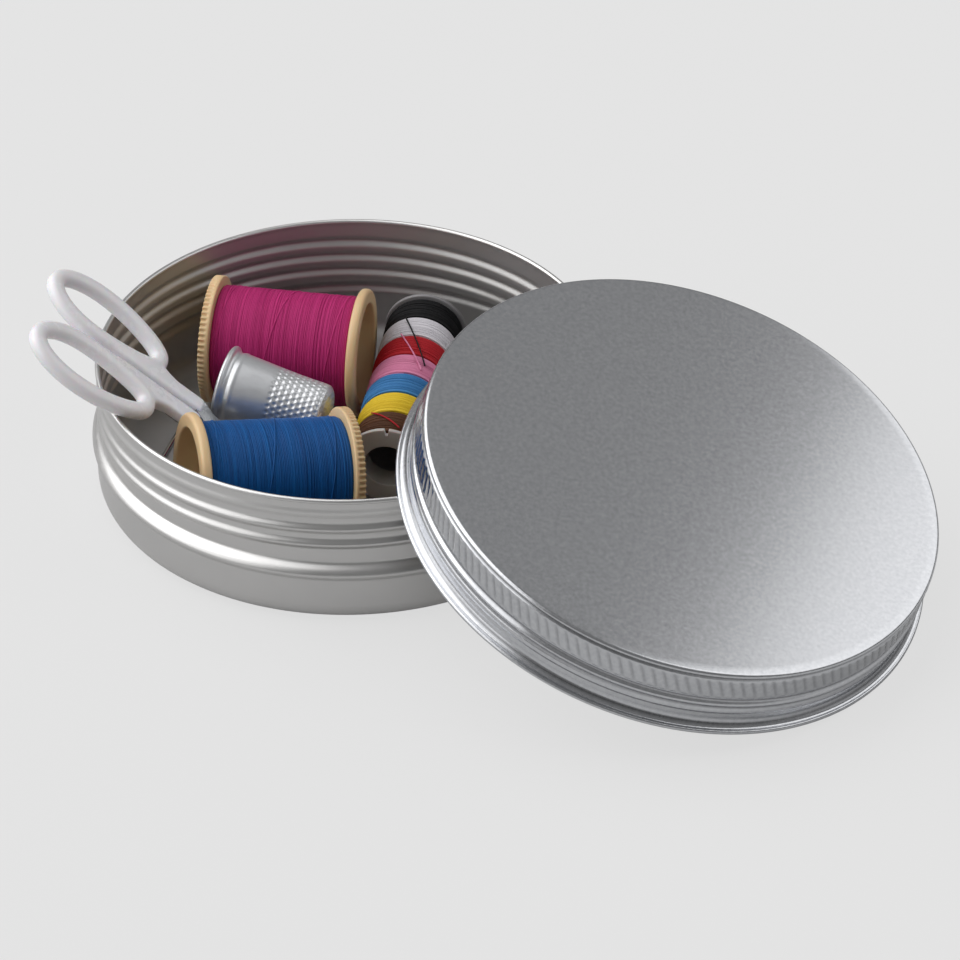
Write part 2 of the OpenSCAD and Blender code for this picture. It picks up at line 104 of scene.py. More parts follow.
def meshFromGrid(name, grid, roundRows=False, uv=None, capEnds=False):
    # neighbouring points of the grid are joined by quads; its columns close on themselves, its rows may too
    rows, cols = grid.shape[:2]
    i = np.arange(rows if roundRows else rows - 1)[:, None]
    j = np.arange(cols)[None, :]
    i2, j2 = (i + 1) % rows, (j + 1) % cols
    quads = np.stack([i * cols + j, i * cols + j2, i2 * cols + j2, i2 * cols + j], -1)
    faces = quads.reshape(-1, 4).tolist()
    if capEnds:
        faces.append(list(range(cols - 1, -1, -1)))
        faces.append(list(range((rows - 1) * cols, rows * cols)))
    mesh = bpy.data.meshes.new(name)
    mesh.from_pydata((grid.reshape(-1, 3) * toMetres).tolist(), [], faces)
    if uv is not None:
        # uv holds one pair for each point; a face takes its corners' pairs, and an end cap takes zeros
        layer = mesh.uv_layers.new(name="along")
        pairs = np.broadcast_to(uv, (rows, cols, 2))
        flat = np.stack([pairs[i, j], pairs[i, j2], pairs[i2, j2], pairs[i2, j]], -2).reshape(-1, 2)
        flat = np.concatenate([flat, np.zeros((len(layer.data) - len(flat), 2))])
        layer.data.foreach_set("uv", flat.astype(np.float32).ravel())
    mesh.update()
    return mesh


def asPiece(name, meshes, material, body, replaced, weld=False):
    # joins meshes into one object, points its faces outwards and hands it to its body
    work = bmesh.new()
    for m in meshes:
        work.from_mesh(m)
        bpy.data.meshes.remove(m)
    if weld:
        bmesh.ops.remove_doubles(work, verts=work.verts, dist=2e-6)  # the rows at the poles become one point
    bmesh.ops.recalc_face_normals(work, faces=work.faces)
    mesh = bpy.data.meshes.new(name)
    work.to_mesh(mesh)
    work.free()
    mesh.polygons.foreach_set("use_smooth", [True] * len(mesh.polygons))
    mesh.materials.append(material)
    piece = bpy.data.objects.new(name, mesh)
    bpy.context.scene.collection.objects.link(piece)
    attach(piece, body)
    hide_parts(*replaced)
    return piece


def refinish(node, material):
    # a CAD node keeps its shape and takes a new material
    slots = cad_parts[node].data.materials
    slots.clear()
    slots.append(material)


def linearColour(hexText):
    # an sRGB colour written as six hex digits, as the linear values that shaders take
    c = np.array([int(hexText[k:k + 2], 16) / 255 for k in (0, 2, 4)])
    c = np.where(c <= 0.04045, c / 12.92, ((c + 0.055) / 1.055) ** 2.4)
    return (*c.tolist(), 1.0)


def newGroup(name, inputs, outputs):
    group = bpy.data.node_groups.new(name, "ShaderNodeTree")
    for label, kind, value in inputs:
        socket = group.interface.new_socket(name=label, in_out="INPUT", socket_type=kind)
        socket.default_value = value
    for label, kind in outputs:
        group.interface.new_socket(name=label, in_out="OUTPUT", socket_type=kind)
    return group, group.nodes.new("NodeGroupInput"), group.nodes.new("NodeGroupOutput")


def makeGrainGroup():
    # fine grain and slow cloudiness from two noises on object coordinates: the roughness is
    # 0.6 of the fine one plus 0.4 of the slow one, spread between Low and High
    group, given, result = newGroup("surfaceGrain", [
        ("Fine Scale", "NodeSocketFloat", 900.0), ("Cloud Scale", "NodeSocketFloat", 40.0),
        ("Low", "NodeSocketFloat", 0.2), ("High", "NodeSocketFloat", 0.35)],
        [("Roughness", "NodeSocketFloat"), ("Height", "NodeSocketFloat"), ("Cloud", "NodeSocketFloat")])
    link = group.links.new
    place = group.nodes.new("ShaderNodeTexCoord")
    fine = group.nodes.new("ShaderNodeTexNoise")
    fine.inputs["Detail"].default_value = 3.0
    cloud = group.nodes.new("ShaderNodeTexNoise")
    cloud.inputs["Detail"].default_value = 2.0
    blend = group.nodes.new("ShaderNodeMath")
    blend.operation = "MULTIPLY_ADD"
    blend.inputs[1].default_value = 0.6
    share = group.nodes.new("ShaderNodeMath")
    share.operation = "MULTIPLY"
    share.inputs[1].default_value = 0.4
    spread = group.nodes.new("ShaderNodeMapRange")
    spread.inputs["From Min"].default_value = 0.3
    spread.inputs["From Max"].default_value = 0.7
    link(place.outputs["Object"], fine.inputs["Vector"])
    link(place.outputs["Object"], cloud.inputs["Vector"])
    link(given.outputs["Fine Scale"], fine.inputs["Scale"])
    link(given.outputs["Cloud Scale"], cloud.inputs["Scale"])
    link(cloud.outputs["Fac"], share.inputs[0])
    link(fine.outputs["Fac"], blend.inputs[0])
    link(share.outputs[0], blend.inputs[2])
    link(blend.outputs[0], spread.inputs["Value"])
    link(given.outputs["Low"], spread.inputs["To Min"])
    link(given.outputs["High"], spread.inputs["To Max"])
    link(spread.outputs["Result"], result.inputs["Roughness"])
    link(fine.outputs["Fac"], result.inputs["Height"])
    link(cloud.outputs["Fac"], result.inputs["Cloud"])
    return group


def makeStrandGroup():
    # streaks between a dark and a light tone from a noise along the thread, and its plies as slanted bands
    group, given, result = newGroup("threadStrands", [
        ("Dark", "NodeSocketColor", (0, 0, 0, 1)), ("Light", "NodeSocketColor", (1, 1, 1, 1)),
        ("Streak", "NodeSocketFloat", 1.0)],
        [("Color", "NodeSocketColor"), ("Height", "NodeSocketFloat")])
    link = group.links.new
    place = group.nodes.new("ShaderNodeUVMap")
    place.uv_map = "along"
    stretch = group.nodes.new("ShaderNodeMapping")
    stretch.inputs["Scale"].default_value = (1.0, 0.6, 1.0)
    streak = group.nodes.new("ShaderNodeTexNoise")
    streak.inputs["Detail"].default_value = 4.0
    ply = group.nodes.new("ShaderNodeTexWave")
    ply.bands_direction = "DIAGONAL"
    ply.inputs["Scale"].default_value = 14.0
    ply.inputs["Distortion"].default_value = 0.6
    ramp = group.nodes.new("ShaderNodeMapRange")
    ramp.inputs["From Min"].default_value = 0.3
    ramp.inputs["From Max"].default_value = 0.7
    mix = group.nodes.new("ShaderNodeMix")
    mix.data_type = "RGBA"
    link(place.outputs["UV"], stretch.inputs["Vector"])
    link(stretch.outputs["Vector"], streak.inputs["Vector"])
    link(given.outputs["Streak"], streak.inputs["Scale"])
    link(place.outputs["UV"], ply.inputs["Vector"])
    link(streak.outputs["Fac"], ramp.inputs["Value"])
    link(ramp.outputs["Result"], mix.inputs["Factor"])
    link(given.outputs["Dark"], mix.inputs["A"])
    link(given.outputs["Light"], mix.inputs["B"])
    link(mix.outputs["Result"], result.inputs["Color"])
    link(ply.outputs["Fac"], result.inputs["Height"])
    return group


def makePaintedShadeGroup():
    # painted shade follows m, the first value of the map: the tone moves to the shade tone by share times m,
    # the roughness grows by dulling times m and the metal changes by its change times m
    group, given, result = newGroup("mapPaintedShade", [
        ("Color", "NodeSocketColor", (1, 1, 1, 1)), ("Shade Tone", "NodeSocketColor", (0, 0, 0, 1)),
        ("Roughness", "NodeSocketFloat", 0.3), ("Metal", "NodeSocketFloat", 1.0),
        ("Share", "NodeSocketFloat", 1.0), ("Dulling", "NodeSocketFloat", 0.0),
        ("Metal Change", "NodeSocketFloat", 0.0)],
        [("Color", "NodeSocketColor"), ("Roughness", "NodeSocketFloat"), ("Metal", "NodeSocketFloat")])
    link = group.links.new
    place = group.nodes.new("ShaderNodeUVMap")
    place.uv_map = "along"
    split = group.nodes.new("ShaderNodeSeparateXYZ")
    cover = group.nodes.new("ShaderNodeMath")
    cover.operation = "MULTIPLY"
    shaded = group.nodes.new("ShaderNodeMix")
    shaded.data_type = "RGBA"
    duller = group.nodes.new("ShaderNodeMath")
    duller.operation = "MULTIPLY_ADD"
    metal = group.nodes.new("ShaderNodeMath")
    metal.operation = "MULTIPLY_ADD"
    link(place.outputs["UV"], split.inputs["Vector"])
    link(split.outputs["X"], cover.inputs[0])
    link(given.outputs["Share"], cover.inputs[1])
    link(cover.outputs[0], shaded.inputs["Factor"])
    link(given.outputs["Color"], shaded.inputs["A"])
    link(given.outputs["Shade Tone"], shaded.inputs["B"])
    link(split.outputs["X"], duller.inputs[0])
    link(given.outputs["Dulling"], duller.inputs[1])
    link(given.outputs["Roughness"], duller.inputs[2])
    link(split.outputs["X"], metal.inputs[0])
    link(given.outputs["Metal Change"], metal.inputs[1])
    link(given.outputs["Metal"], metal.inputs[2])
    link(shaded.outputs["Result"], result.inputs["Color"])
    link(duller.outputs[0], result.inputs["Roughness"])
    link(metal.outputs[0], result.inputs["Metal"])
    return group


grainGroup = makeGrainGroup()
strandGroup = makeStrandGroup()
paintedShadeGroup = makePaintedShadeGroup()


def grainyMaterial(name, colours, rough, metallic, fineScale, cloudScale, bumpDepth, bumpStrength,
                   coat=0.0, seeThrough=0.0, inner=0.0, paintedShade=None):
    # a surface whose colour drifts between two tones and whose roughness follows its grain;
    # painted shade, where given, darkens its tone towards a shade tone and changes its roughness and metal
    # along the map
    material = bpy.data.materials.new(name)
    material.use_nodes = True
    nodes, link = material.node_tree.nodes, material.node_tree.links.new
    shader = nodes["Principled BSDF"]
    shader.inputs["Metallic"].default_value = metallic
    shader.inputs["Coat Weight"].default_value = coat
    shader.inputs["Coat Roughness"].default_value = 0.12
    shader.inputs["Transmission Weight"].default_value = seeThrough
    shader.inputs["Subsurface Weight"].default_value = inner
    shader.inputs["Subsurface Scale"].default_value = 0.0015
    grain = nodes.new("ShaderNodeGroup")
    grain.node_tree = grainGroup
    grain.inputs["Fine Scale"].default_value = fineScale
    grain.inputs["Cloud Scale"].default_value = cloudScale
    grain.inputs["Low"].default_value = rough[0]
    grain.inputs["High"].default_value = rough[1]
    tone = nodes.new("ShaderNodeMix")
    tone.data_type = "RGBA"
    tone.inputs["A"].default_value = linearColour(colours[0])
    tone.inputs["B"].default_value = linearColour(colours[1])
    bump = nodes.new("ShaderNodeBump")
    bump.inputs["Strength"].default_value = bumpStrength
    bump.inputs["Distance"].default_value = bumpDepth
    link(grain.outputs["Cloud"], tone.inputs["Factor"])
    colour, roughness = tone.outputs["Result"], grain.outputs["Roughness"]
    # painted shade: the tone darkens towards the shade tone where the map asks for it
    if paintedShade is not None:
        shaded = nodes.new("ShaderNodeGroup")
        shaded.node_tree = paintedShadeGroup
        shaded.inputs["Shade Tone"].default_value = linearColour(paintedShade["tone"])
        shaded.inputs["Share"].default_value = paintedShade["share"]
        shaded.inputs["Dulling"].default_value = paintedShade["dulling"]
        shaded.inputs["Metal"].default_value = metallic
        shaded.inputs["Metal Change"].default_value = -paintedShade["metalLoss"]
        link(colour, shaded.inputs["Color"])
        link(roughness, shaded.inputs["Roughness"])
        colour, roughness = shaded.outputs["Color"], shaded.outputs["Roughness"]
        if paintedShade["metalLoss"]:
            link(shaded.outputs["Metal"], shader.inputs["Metallic"])
    link(colour, shader.inputs["Base Color"])
    link(roughness, shader.inputs["Roughness"])
    link(grain.outputs["Height"], bump.inputs["Height"])
    link(bump.outputs["Normal"], shader.inputs["Normal"])
    return material


def threadMaterial(name, dark, light, sheen, rough, streak):
    # sewing thread: strands of two tones, a soft sheen and the twist of the plies as a bump
    material = bpy.data.materials.new(name)
    material.use_nodes = True
    nodes, link = material.node_tree.nodes, material.node_tree.links.new
    shader = nodes["Principled BSDF"]
    shader.inputs["Roughness"].default_value = rough
    shader.inputs["Specular IOR Level"].default_value = 0.25
    shader.inputs["Sheen Weight"].default_value = sheen
    shader.inputs["Sheen Roughness"].default_value = 0.4
    shader.inputs["Sheen Tint"].default_value = linearColour(light)
    strands = nodes.new("ShaderNodeGroup")
    strands.node_tree = strandGroup
    strands.inputs["Dark"].default_value = linearColour(dark)
    strands.inputs["Light"].default_value = linearColour(light)
    strands.inputs["Streak"].default_value = streak
    bump = nodes.new("ShaderNodeBump")
    bump.inputs["Strength"].default_value = 0.35
    bump.inputs["Distance"].default_value = 0.00004
    link(strands.outputs["Color"], shader.inputs["Base Color"])
    link(strands.outputs["Height"], bump.inputs["Height"])
    link(bump.outputs["Normal"], shader.inputs["Normal"])
    return material


# its painted shade darkens the tin's inside, most of all its floor
satinAluminium = grainyMaterial(
    "satinAluminium", ("d4d3d2", "dedddc"), (0.31, 0.39), metallic=1.0, fineScale=700, cloudScale=60,
    bumpDepth=0.00001, bumpStrength=0.06,
    paintedShade={"tone": "b2b1b0", "share": 0.8, "dulling": 0.12, "metalLoss": 0.22})
# its near-black painted shade darkens the lid's grip furrows and grooves
lidAluminium = grainyMaterial(
    "lidAluminium", ("c3c5c9", "e2e3e6"), (0.19, 0.225), metallic=1.0, fineScale=2200, cloudScale=1300,
    bumpDepth=0.00001, bumpStrength=0.12,
    paintedShade={"tone": "2c2c2e", "share": 0.85, "dulling": 0.1, "metalLoss": 0.0})
foamWhite = grainyMaterial(
    "foamWhite", ("dcdad4", "efeee9"), (0.75, 0.95), metallic=0.0, fineScale=1200, cloudScale=80,
    bumpDepth=0.0002, bumpStrength=0.6)
spoolPlastic = grainyMaterial(
    "spoolPlastic", ("dcb888", "e8cb9e"), (0.3, 0.45), metallic=0.0, fineScale=700, cloudScale=60,
    bumpDepth=0.00003, bumpStrength=0.2, coat=0.1, inner=0.15)
handlePlastic = grainyMaterial(
    "handlePlastic", ("f3f1f6", "fbfafc"), (0.2, 0.32), metallic=0.0, fineScale=500, cloudScale=50,
    bumpDepth=0.00002, bumpStrength=0.12, coat=0.2, inner=0.2)
bladeSteel = grainyMaterial(
    "bladeSteel", ("a9abae", "c6c8ca"), (0.18, 0.34), metallic=1.0, fineScale=1100, cloudScale=120,
    bumpDepth=0.00002, bumpStrength=0.2)
thimbleMetal = grainyMaterial(
    "thimbleMetal", ("d6d8da", "e6e7ea"), (0.28, 0.4), metallic=0.75, fineScale=900, cloudScale=90,
    bumpDepth=0.00001, bumpStrength=0.1)
needleSteel = grainyMaterial(
    "needleSteel", ("d0d2d4", "e6e7e8"), (0.08, 0.16), metallic=1.0, fineScale=900, cloudScale=90,
    bumpDepth=0.00001, bumpStrength=0.1)
reelPlastic = grainyMaterial(
    "reelPlastic", ("8c8a8c", "a4a2a4"), (0.25, 0.4), metallic=0.0, fineScale=600, cloudScale=60,
    bumpDepth=0.00002, bumpStrength=0.15, coat=0.1, seeThrough=0.2)
capPlastic = grainyMaterial(
    "capPlastic", ("b4b0ac", "cac6c2"), (0.25, 0.4), metallic=0.0, fineScale=600, cloudScale=60,
    bumpDepth=0.00002, bumpStrength=0.15, coat=0.1, inner=0.2)
magentaThread = threadMaterial("magentaThread", "a41a60", "ca347e", sheen=0.05, rough=0.55, streak=1.4)
blueThread = threadMaterial("blueThread", "043f7c", "0861a8", sheen=0.0, rough=0.5, streak=1.4)
bandThreads = {"black": ("08080a", "151518"), "white": ("cfcbd2", "e6e3e8"), "red": ("a8141f", "c32430"),
               "pink": ("d47aa0", "e694b6"), "blue": ("2c6aa6", "4a8cc2"), "yellow": ("dcb622", "efd23c"),
               "brown": ("4a2c1c", "6a442c")}
bandMaterials = {}
for colour, (dark, light) in bandThreads.items():
    look = threadMaterial("bandThread_" + colour, dark, light, sheen=0.25, rough=0.55, streak=1.0)
    bandMaterials[colour] = look
print("stage: materials made")


tin = {"height": 27.6, "rimRadius": 48.6, "curlRadius": 0.5, "wallRadius": 49.2, "edgeRadius": 4.0,
       "sheet": 0.36, "neckInset": 0.55, "stepWidth": 1.2, "floorRings": (0, 12, 24, 36, 43),
       "wallRows": 82, "aboveEdge": 0.3, "belowCurl": 0.62,
       "stopBeadHeight": 0.7, "stopBeadMiddle": 11.2, "stopBeadWidth": 3.0, "stopBeadFade": 1.5,
       "screwPitch": 3.4, "screwBeadHeight": 0.68, "screwBeadWidth": 2.6, "screwStartAngle": 20.0,
       "screwStartHeight": 15.15, "screwTurns": 3.0, "screwFadeIn": 0.12, "screwFadeOut": 0.8,
       "beadLeastRadius": 47.2, "beadLeastHeight": 4.2, "beadBelowTop": 0.8,
       "rowsPastTop": 4, "floorBand": 2.0, "columns": 480}


def swell(z, middle, width, height):
    # a raised cosine: height at the middle, nothing further off than half the width
    t = np.clip((z - middle) / width, -0.5, 0.5)
    return height * (1 + np.cos(2 * pi * t)) / 2


def eased(z, start, width, a, b):
    # a cosine step from a to b
    t = np.clip((z - start) / width, 0, 1)
    return a + (b - a) * (1 - np.cos(pi * t)) / 2


def tinWall(r, z, a):
    # rows that lie on the wall swell out at the stop bead and along the screw bead, whose middle
    # climbs one pitch a turn and which fades in and out at its ends
    low = tin["beadLeastHeight"]
    onWall = (r > tin["beadLeastRadius"]) & (z > low) & (z < tin["height"] - tin["beadBelowTop"])
    fade = np.clip((z - low) / tin["stopBeadFade"], 0, 1)
    out = swell(z, tin["stopBeadMiddle"], tin["stopBeadWidth"], tin["stopBeadHeight"]) * fade
    start = np.mod(a - radians(tin["screwStartAngle"]), 2 * pi) / (2 * pi)
    for k in range(int(tin["screwTurns"]) + 1):
        along = start + k
        fadeIn = np.clip(along / tin["screwFadeIn"], 0, 1)
        fadeOut = np.clip((tin["screwTurns"] - along) / tin["screwFadeOut"], 0, 1)
        middle = tin["screwStartHeight"] + tin["screwPitch"] * along
        out = out + fadeIn * fadeOut * swell(z, middle, tin["screwBeadWidth"], tin["screwBeadHeight"])
    return np.where(onWall, r + out, r)


def tinProfile():
    # up the outside, round the curl and down the inside, from pole to pole
    t, edge, curl = tin["sheet"], tin["edgeRadius"], tin["curlRadius"]
    neck = tin["rimRadius"] - tin["neckInset"]
    top = tin["height"] - curl
    base = tin["wallRadius"] - edge
    step = tin["stopBeadMiddle"] + tin["stopBeadWidth"] / 2 - tin["stepWidth"] / 2
    rings = np.array(tin["floorRings"], float)
    floorOut = np.stack([rings, 0 * rings], 1)
    a = np.radians(np.arange(0, 91, 10))
    edgeOut = np.stack([base + edge * np.sin(a), edge * (1 - np.cos(a))], 1)
    z = np.linspace(edge + tin["aboveEdge"], top - tin["belowCurl"], tin["wallRows"])
    wallOut = np.stack([eased(z, step, tin["stepWidth"], tin["wallRadius"], neck), z], 1)
    c = np.radians(np.arange(-100, 216, 20))
    rim = np.stack([tin["rimRadius"] - curl + curl * np.cos(c), top + curl * np.sin(c)], 1)
    wallIn = (wallOut - [t, 0])[::-1]
    edgeIn = np.stack([base + (edge - t) * np.sin(a), edge - (edge - t) * np.cos(a)], 1)[::-1]
    floorIn = (floorOut + [0, t])[::-1]
    return np.concatenate([floorOut, edgeOut, wallOut, rim, wallIn, edgeIn, floorIn])


# painted shade lies on the tin's inside, darker, duller and less metallic: the wall counts once and the floor
# twice
tinLine = tinProfile()
tinHeights = tinLine[:, 1]
inside = np.arange(len(tinLine)) > np.argmax(tinHeights) + tin["rowsPastTop"]
insideShade = inside * 1.0 + inside * (tinHeights < tin["floorBand"])
tinPaintedShade = np.stack([insideShade, tinHeights * 0], -1)[:, None, :]
tinMesh = meshFromGrid("tinShell", revolved(tinLine, tin["columns"], tinWall), uv=tinPaintedShade)
asPiece("tinShell", [tinMesh], satinAluminium, "tin", ("tin_body",), weld=True)
print("stage: tin made")


lid = {"height": 14.3, "radius": 49.35, "edgeRadius": 1.3, "lipRadius": 0.65, "lipOut": 0.05,
       "hemRadius": 51.2, "curlRadius": 0.5, "flareTop": 2.3, "flareBelow": 0.4, "flareInset": 0.5,
       "sheet": 0.36, "topRings": (0, 20, 38, 47.2), "innerTopRing": 40,
       "neckGroove": ((0.1, 0.85), (0.32, 1.05), (0.32, 1.25)),  # inset from the radius, drop from the top
       "skirtRows": ((12.85, 12.3, 4), (11.6, 9.0, 5), (8.5, 7.8, 5), (7.55, 3.7, 16), (3.2, 0.75, 7)),
       "innerRows": (1.2, 1.8, 2.6, 4.4, 5.3, 5.9, 6.45, 7.0, 7.4, 8.1, 12.0),
       "beads": ((6.45, 1.5, 0.4), (7.45, 1.0, -0.22), (5.35, 1.1, -0.2), (4.4, 1.2, 0.12)),
       # painted shade lines in the groove under the top edge, in the skirt's two grooves and above the hem
       "shadeLines": ((7.45, 0.7, 0.7), (5.35, 0.6, 0.6), (13.15, 0.7, 0.9), (1.55, 0.9, 0.8)),
       "gripLow": 8.1, "gripHigh": 12.7, "gripRaise": 0.15, "gripLowSlope": 0.35, "gripHighSlope": 0.25,
       "toothCount": 150, "toothDepth": 0.28, "toothSlant": 2.2, "toothFade": 0.5, "toothAbove": 0.1,
       # furrowShade is the strength of the painted shade in the grip band's furrows
       "toothBelow": 0.05, "furrowHalf": 0.26, "furrowShade": 0.38, "columns": 1200,
       "tilt": 18.3, "turn": -33.3, "reach": 70.6}
lidSpin = turnAbout("z", lid["turn"]) @ turnAbout("y", lid["tilt"])
lidRise = lid["curlRadius"] + (lid["hemRadius"] - lid["curlRadius"]) * sin(radians(lid["tilt"]))
lidTurn = radians(lid["turn"])
lidPlace = np.array([lid["reach"] * cos(lidTurn), lid["reach"] * sin(lidTurn), lidRise])


def lidWall(z):
    # radius of the skirt: flared at the hem, two beads and two grooves as (middle, width, height),
    # and a raised grip band
    low = lid["curlRadius"] - lid["flareBelow"]
    width = lid["flareTop"] - lid["curlRadius"] + lid["flareBelow"]
    r = eased(z, low, width, lid["hemRadius"] - lid["flareInset"], lid["radius"])
    for bead in lid["beads"]:
        r = r + swell(z, *bead)
    rise = np.clip((z - lid["gripLow"]) / lid["gripLowSlope"], 0, 1)
    fall = np.clip((lid["gripHigh"] - z) / lid["gripHighSlope"], 0, 1)
    return r + lid["gripRaise"] * (rise * fall)


def gripPress(r, z, a):
    # depth share of the slanted furrows between the teeth of the grip band
    low = np.clip((z - lid["gripLow"] - lid["toothAbove"]) / lid["toothFade"], 0, 1)
    high = np.clip((lid["gripHigh"] - lid["toothBelow"] - z) / lid["toothFade"], 0, 1)
    phase = a * lid["toothCount"] / (2 * pi) + (z - lid["gripLow"]) / lid["toothSlant"] * 0.5
    furrow = np.clip(1 - np.abs(np.mod(phase, 1) - 0.5) / lid["furrowHalf"], 0, 1)
    return furrow * (low * high) * (r > lid["radius"] + lid["lipOut"])


def gripTeeth(r, z, a):
    # the furrows are pressed into the outer skirt
    return r - lid["toothDepth"] * gripPress(r, z, a)


def lidProfile():
    # from the pole of the top over the edge, down the skirt, round the curl and back inside to the pole
    h, e, t, lip, curl = lid["height"], lid["edgeRadius"], lid["sheet"], lid["lipRadius"], lid["curlRadius"]
    a = np.radians(np.arange(90, -1, -18))
    rings = np.array(lid["topRings"], float)
    topOut = np.stack([rings, 0 * rings + h], 1)
    edge = lid["radius"] + lid["lipOut"] - lip
    cornerOut = np.stack([edge + lip * np.cos(a), h - lip + lip * np.sin(a)], 1)
    neck = np.array([lid["radius"], h]) - np.array(lid["neckGroove"])
    z = np.concatenate([np.linspace(*rows) for rows in lid["skirtRows"]])
    wallOut = np.stack([lidWall(z), z], 1)
    c = np.radians(np.arange(80, -201, -28))
    hem = np.stack([lid["hemRadius"] - curl + curl * np.cos(c), curl + curl * np.sin(c)], 1)
    zi = np.array(lid["innerRows"])
    wallIn = np.stack([lidWall(zi) - t, zi], 1)
    b = np.radians([0, 30, 60, 90])
    flat = lid["radius"] - e
    cornerIn = np.stack([flat + (e - t) * np.cos(b), h - e + (e - t) * np.sin(b)], 1)
    topIn = np.array([[lid["innerTopRing"], h - t], [0, h - t]])
    return np.concatenate([topOut, cornerOut, neck, wallOut, hem, wallIn, cornerIn, topIn])


# the lid's painted shade lies in its pressed furrows and along its grooves as shade lines, given as (middle,
# width, strength), on the outside
lidLine = lidProfile()
lidRadii, lidHeights = lidLine[:, :1], lidLine[:, 1:]
lidAngles = np.linspace(0, 2 * pi, lid["columns"], endpoint=False)[None, :]
outerRows = len(lidLine) - len(lid["innerRows"]) - 7  # 7: the hem's last row, the inner corner and top
onOutside = (np.arange(len(lidLine)) < outerRows)[:, None]
shadeLines = sum(swell(lidHeights, *line) for line in lid["shadeLines"])
furrowAndLineShade = np.maximum(lid["furrowShade"] * gripPress(lidRadii, lidHeights, lidAngles), shadeLines * onOutside)
lidPaintedShade = np.stack([furrowAndLineShade, furrowAndLineShade * 0], -1)
lidGrid = revolved(lidLine, lid["columns"], gripTeeth) - [0, 0, lid["curlRadius"]]
lidMesh = meshFromGrid("lidShell", carried(lidGrid, lidSpin, lidPlace), uv=lidPaintedShade)
asPiece("lidShell", [lidMesh], lidAluminium, "lid", ("lid_shell",), weld=True)
refinish("lid_liner", foamWhite)
print("stage: lid made")


spool = {"length": 31.4, "flangeRadius": 12.7, "flangeThick": 2.0, "threadRadius": 11.1, "barrelRadius": 9.6,
         "barrelWall": 0.6, "mouthRound": 0.9, "seat": 0.05, "barrelColumns": 144, "holeRadius": 3.6,
         "collarWall": 0.6, "collarLength": 3.0, "slideGap": 0.12,
         "teeth": 72, "toothDepth": 0.5, "toothBand": 0.9, "toothHeight": 1.25, "columnsPerTooth": 8}
spoolPlaces = {"magenta": {"at": (-12.9, 24.0, 13.2), "turn": -9.6, "rise": 0.0, "seed": 3},
               "blue": {"at": (-14.8, -23.5, 15.25), "turn": 195.5, "rise": 8.0, "seed": 7}}


def spoolBarrelGrid():
    # a hollow barrel that ends in a flange with a round lip
    half, f, fr = spool["length"] / 2, spool["flangeThick"], spool["flangeRadius"]
    barrel, seat = spool["barrelRadius"], spool["seat"]
    bore = barrel - spool["barrelWall"]
    mouth = bore + spool["mouthRound"]
    corners = [[bore, -half + f + seat], [barrel, -half + f + seat], [barrel, half - f], [fr, half - f],
               [fr, half], [mouth, half], [bore, half - 2 * f]]
    loop = roundedCorners(corners, [0.1, 0.1, 0.3, 0.95, 0.95, 0.5, 0.8], 9)
    return revolved(denser(loop, 2.5), spool["barrelColumns"])


def spoolTeeth(r, z, a):
    # triangular teeth round the edge of the pushed-in flange
    saw = np.abs(np.mod(a * spool["teeth"] / (2 * pi), 1) * 2 - 1)
    shape = np.clip((saw - 0.3) / 0.4, 0, 1)
    reach = np.clip((spool["toothHeight"] - z) / 0.2, 0, 1)
    atEdge = r > spool["flangeRadius"] - spool["toothBand"]
    return np.where(atEdge, r - spool["toothDepth"] * shape * reach, r)


def spoolCapGrid():
    # a toothed disc with a hole and the collar that holds it in the barrel
    f, fr, hole = spool["flangeThick"], spool["flangeRadius"], spool["holeRadius"]
    ring = spool["barrelRadius"] - spool["barrelWall"] - spool["slideGap"]
    inner, deep = ring - spool["collarWall"], f + spool["collarLength"]
    corners = [[hole, 0], [fr, 0], [fr, 1.0], [fr, 1.3], [fr, f], [ring, f], [ring, deep], [inner, deep],
               [inner, f], [hole, f]]
    loop = roundedCorners(corners, [0.3, 0.35, 0, 0, 0.35, 0.1, 0.15, 0.15, 0.2, 0.2], 5)
    columns = spool["teeth"] * spool["columnsPerTooth"]
    return revolved(denser(loop, 2.0), columns, spoolTeeth) - [0, 0, spool["length"] / 2]


# strand and drop are millimetres, and drop lowers both ends of the layer; swing, sink, radiusWaver and
# returnLift are shares of the strand
spoolWinding = {"strand": 0.34, "turns": 88, "rings": 52, "sides": 6, "swing": 0.1, "drop": 0.0,
                "returns": 3.0, "sink": 0.9}
windingShape = {"radiusWaver": 0.12, "returnLift": 0.45, "tallness": 1.15, "mapRate": 1.37}


